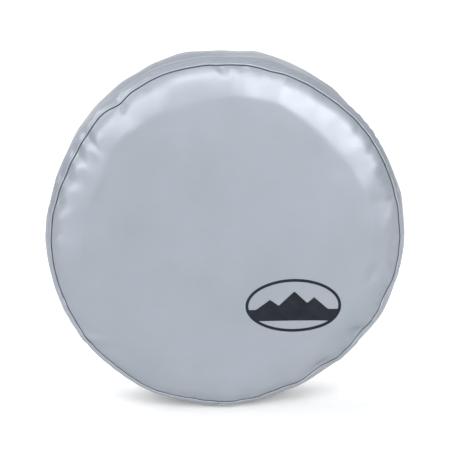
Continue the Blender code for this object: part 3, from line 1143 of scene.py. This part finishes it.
def build_lap_threads(section, tab_first, tab_last):
    """Two rows of stitches down the lap, each seen on the face and on the back."""
    on_face = PITCH + VINYL / 2 + GAP / 2 + THREAD
    on_back = -VINYL / 2 - GAP / 2 - THREAD
    kinds = (("needle", on_face, tab_first + 2), ("bobbin", on_back, tab_first + 12))
    for side, share in (("left", 0.25), ("right", 0.75)):
        t = BOTTOM + share * LAP
        for kind, off, start in kinds:
            name = f"lap_{side}_{kind}_stitches"
            made = lap_stitches(name, section, t, off, start, tab_last - 1, thread)
            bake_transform(made)
            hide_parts(f"lap_{side}_{kind}_thread")


face_piece = build_face()
band_piece, band_rows, lap_first, lap_last = build_band()
build_tape()
build_hem()
build_emblem()
build_seam_threads()
build_hem_threads()
build_lap_threads(band_rows, lap_first, lap_last)
for node, finish in (("elastic_cord", elastic_material()), ("elastic_clamp", zinc_material())):
    NODES[node].data.materials.clear()
    NODES[node].data.materials.append(finish)


# ---- stage, light and camera


def build_stage():
    """A floor that sweeps up behind the cover into a wall, in one pale sheet."""
    floor_z = band_low.z - 0.0008
    half_width, front, back, top = 7.0, -6.0, 3.0, 6.0
    bend, steps = 1.2, 16
    profile = [(front, 0.0), (back, 0.0)]
    for i in range(1, steps + 1):
        a = math.pi / 2 * i / steps
        profile.append((back + bend * math.sin(a), bend * (1 - math.cos(a))))
    profile.append((back + bend, top))
    points = []
    for x in (-half_width, half_width):
        points += [(x, y, floor_z + z) for y, z in profile]
    n = len(profile)
    faces = [(i, i + n, i + 1 + n, i + 1) for i in range(n - 1)]
    obj = new_object("studio_sweep", points, faces, [stage_material()])


def area_light(name, place, size, power):
    """A warm-white panel that faces the middle of the cover."""
    data = bpy.data.lights.new(name, "AREA")
    data.shape = "ELLIPSE"
    data.size, data.size_y = size
    data.energy = power
    data.color = (1.0, 0.995, 0.985)
    obj = link(name, data)
    obj.location = place
    obj.rotation_euler = (-Vector(place)).to_track_quat("-Z", "Y").to_euler()


# The room's brightness from left to right, its tint and its strength.
ROOM_LEVELS = [(0.0, 0.50), (0.25, 0.85), (0.5, 0.92), (0.68, 0.80), (0.90, 0.20)]
ROOM_TINT = (0.94, 0.97, 1.02)
ROOM_STRENGTH = 0.475


def build_world():
    """A pale room that is dimmer at its right side, so that the cover's shoulder reads."""
    world = bpy.data.worlds.new("pale_room")
    bpy.context.scene.world = world
    world.use_nodes = True
    tree = world.node_tree
    background = tree.nodes["Background"]
    coords = tree.nodes.new("ShaderNodeTexCoord")
    split = tree.nodes.new("ShaderNodeSeparateXYZ")
    tree.links.new(coords.outputs["Generated"], split.inputs[0])
    side = tree.nodes.new("ShaderNodeMath")
    side.operation = "MULTIPLY_ADD"
    tree.links.new(split.outputs["X"], side.inputs[0])
    side.inputs[1].default_value = 0.5
    side.inputs[2].default_value = 0.5
    ramp = tree.nodes.new("ShaderNodeValToRGB")
    while len(ramp.color_ramp.elements) < len(ROOM_LEVELS):
        ramp.color_ramp.elements.new(0.5)
    for element, (spot, level) in zip(ramp.color_ramp.elements, ROOM_LEVELS):
        element.position = spot
        element.color = (*(part * level for part in ROOM_TINT), 1.0)
    tree.links.new(side.outputs[0], ramp.inputs[0])
    tree.links.new(ramp.outputs["Color"], background.inputs["Color"])
    background.inputs["Strength"].default_value = ROOM_STRENGTH


def build_camera():
    """The viewing angle: a little above the middle and a little to the left, from two metres."""
    azimuth, elevation, distance = math.radians(-3.3), math.radians(14.4), 2.0
    level = math.cos(elevation)
    right, forward = math.sin(azimuth) * level, -math.cos(azimuth) * level
    back = Vector((right, forward, math.sin(elevation)))
    aim = Vector((0.0027, 0.0, 0.0061))
    data = bpy.data.cameras.new("camera")
    data.sensor_width = 36.0
    data.lens = 93.4
    data.clip_end = 60.0
    obj = link("camera", data)
    obj.location = aim + back * distance
    obj.rotation_euler = (-back).to_track_quat("-Z", "Y").to_euler()
    bpy.context.scene.camera = obj


# Each light's name, place, size and power.
LIGHTS = [
    ("key_softbox", (1.18, -1.95, 0.86), (1.60, 1.25), 38.0),
    ("top_panel", (0.05, -1.60, 1.78), (1.8, 1.25), 27.5),
    ("left_softbox", (-1.15, -1.95, 1.00), (1.05, 0.95), 16.0),
    ("low_left_fill", (-1.70, -1.60, 0.05), (1.20, 1.00), 8.0),
    ("overhead_panel", (0.0, 0.6, 2.4), (2.4, 1.4), 1.5),
    ("upper_left_fill", (-1.90, 0.10, 1.60), (1.2, 1.2), 18.0),
]

build_stage()
build_world()
build_camera()
for light in LIGHTS:
    area_light(*light)
bpy.context.scene.view_settings.view_transform = "Standard"
